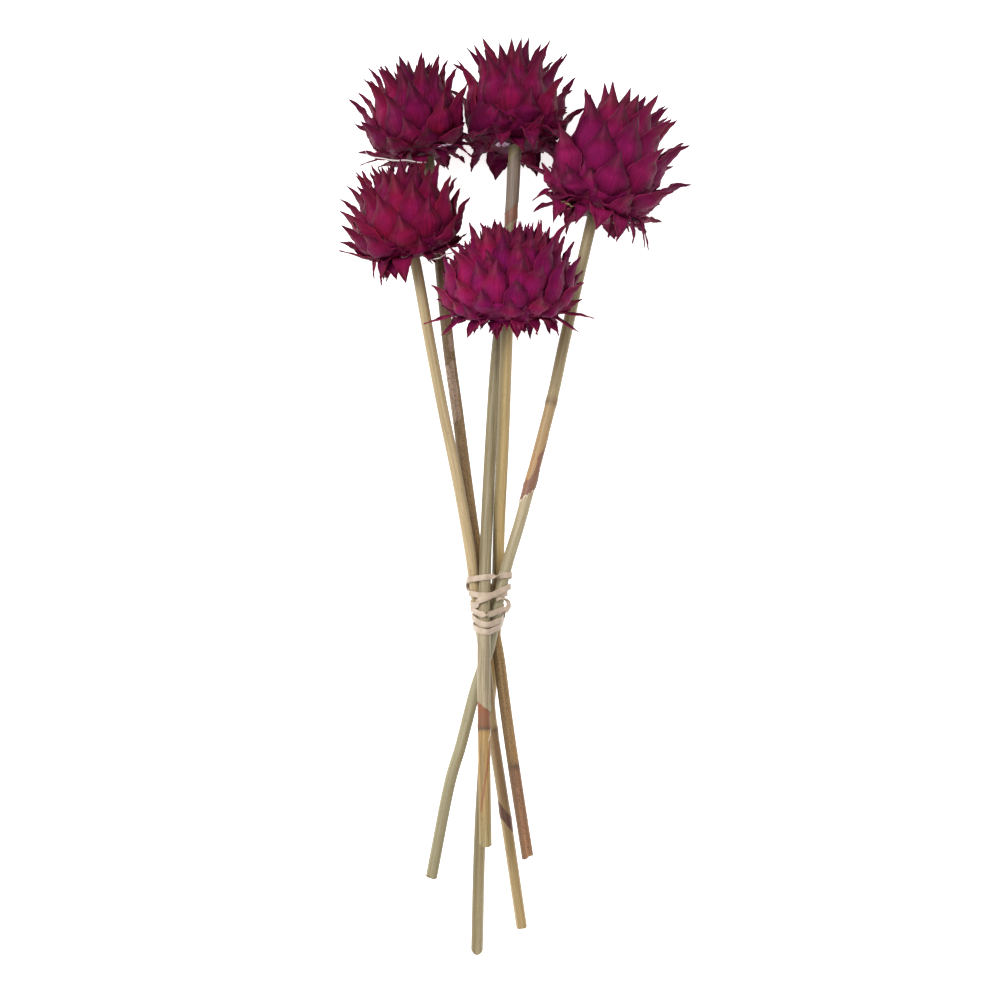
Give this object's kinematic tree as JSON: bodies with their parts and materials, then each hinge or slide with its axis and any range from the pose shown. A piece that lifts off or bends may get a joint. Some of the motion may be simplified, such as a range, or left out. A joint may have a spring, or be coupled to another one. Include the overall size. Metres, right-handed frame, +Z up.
{
  "type": "dried artichoke bunch",
  "caption": "Bunch of dried, dyed artichoke heads with spined overlapping bracts on cut reed stems, held by a rubber band and lying on a surface.",
  "frame": {"origin": "on the surface that the bunch lies on, under the middle of its bounding box", "axes": "+Z up, +Y along the stems from the cut ends to the heads, +X to the right seen from above"},
  "size_m": [0.2071, 0.5544, 0.134],
  "materials": {
    "bracts_magenta": "dry dyed bract, satin with fine lengthwise streaks",
    "bracts_crimson": "dry dyed bract, darker crimson, satin",
    "bracts_purple": "dry dyed bract, more purple, satin",
    "reed_straw": "dry reed, straw yellow, satin",
    "reed_olive": "dry reed, olive and orange tan, satin",
    "reed_grey_green": "dry reed, grey green with fine stripes, satin",
    "reed_brown": "dry reed, mottled brown bark, matt",
    "rubber_tan": "natural tan rubber, matt"
  },
  "bodies": {
    "root": {"head_left": "bracts_magenta", "head_centre": "bracts_magenta", "head_upper_left": "bracts_crimson", "head_top": "bracts_crimson", "head_right": "bracts_purple", "reed_left": "reed_straw", "reed_centre": "reed_straw", "reed_right": "reed_olive", "reed_top": "reed_grey_green", "reed_upper_left": "reed_brown", "rubber_band": "rubber_tan"}
  },
  "joints": []
}
